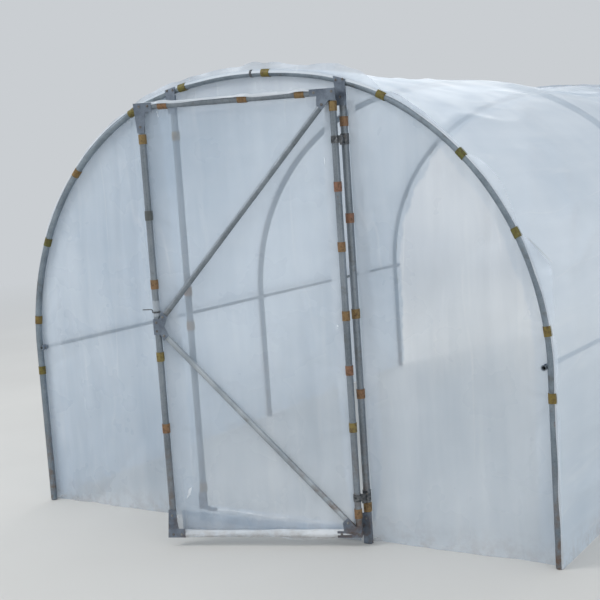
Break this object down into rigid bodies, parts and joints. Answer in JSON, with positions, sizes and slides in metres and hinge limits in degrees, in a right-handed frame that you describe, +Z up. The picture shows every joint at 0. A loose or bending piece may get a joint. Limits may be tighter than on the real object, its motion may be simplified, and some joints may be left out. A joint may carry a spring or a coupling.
{
  "type": "polytunnel greenhouse",
  "caption": "Walk-in polytunnel greenhouse with bent tube hoops, translucent film cover and a framed door standing ajar.",
  "frame": {"origin": "centre of the footprint, the open door leaf included, at floor level", "axes": "+X to the right seen from outside the door end, +Y from the door end to the open rear end, +Z up"},
  "size_m": [3.0594, 4.7123, 2.2786],
  "materials": {
    "tube": "galvanised, weathered matt",
    "fittings": "pressed galvanised steel, blue grey",
    "film": "milky translucent polyethylene film",
    "clips": "amber moulded spring clips",
    "hinges": "dark steel"
  },
  "bodies": {
    "tunnel": {"front_hoop": "tube", "middle_hoop": "tube", "rear_hoop": "tube", "side_rail_left": "tube", "side_rail_right": "tube", "rail_clamps": "fittings", "door_post_left": "tube", "door_post_right": "tube", "door_post_heads": "fittings", "door_post_feet": "fittings", "door_post_clips": "clips", "door_sill": "tube", "cover_wall_left": "film", "cover_shoulder_left_1": "film", "cover_shoulder_left_2": "film", "cover_shoulder_left_3": "film", "cover_wall_right": "film", "cover_shoulder_right_1": "film", "cover_shoulder_right_2": "film", "cover_shoulder_right_3": "film", "cover_crown": "film", "front_film_left": "film", "front_film_right": "film", "front_film_over_door": "film", "hoop_clips_front": "clips", "hoop_clips_rear": "clips", "hinge_pintles": "hinges"},
    "door": {"leaf_free_stile": "tube", "leaf_hinge_stile": "tube", "leaf_top_rail": "tube", "leaf_bottom_rail": "tube", "leaf_upper_brace": "tube", "leaf_lower_brace": "tube", "leaf_corners": "fittings", "leaf_gussets": "fittings", "leaf_joint_plate": "fittings", "leaf_film": "film", "leaf_clips": "clips", "leaf_hook": "hinges", "hinge_eyes": "hinges"}
  },
  "joints": [
    {"name": "door_hinge", "type": "hinge", "parent": "tunnel", "child": "door", "pos_m": [0.573, -1.99216, 0.208], "axis": [0, 0, 1], "range_deg": [-21, 129]}
  ]
}
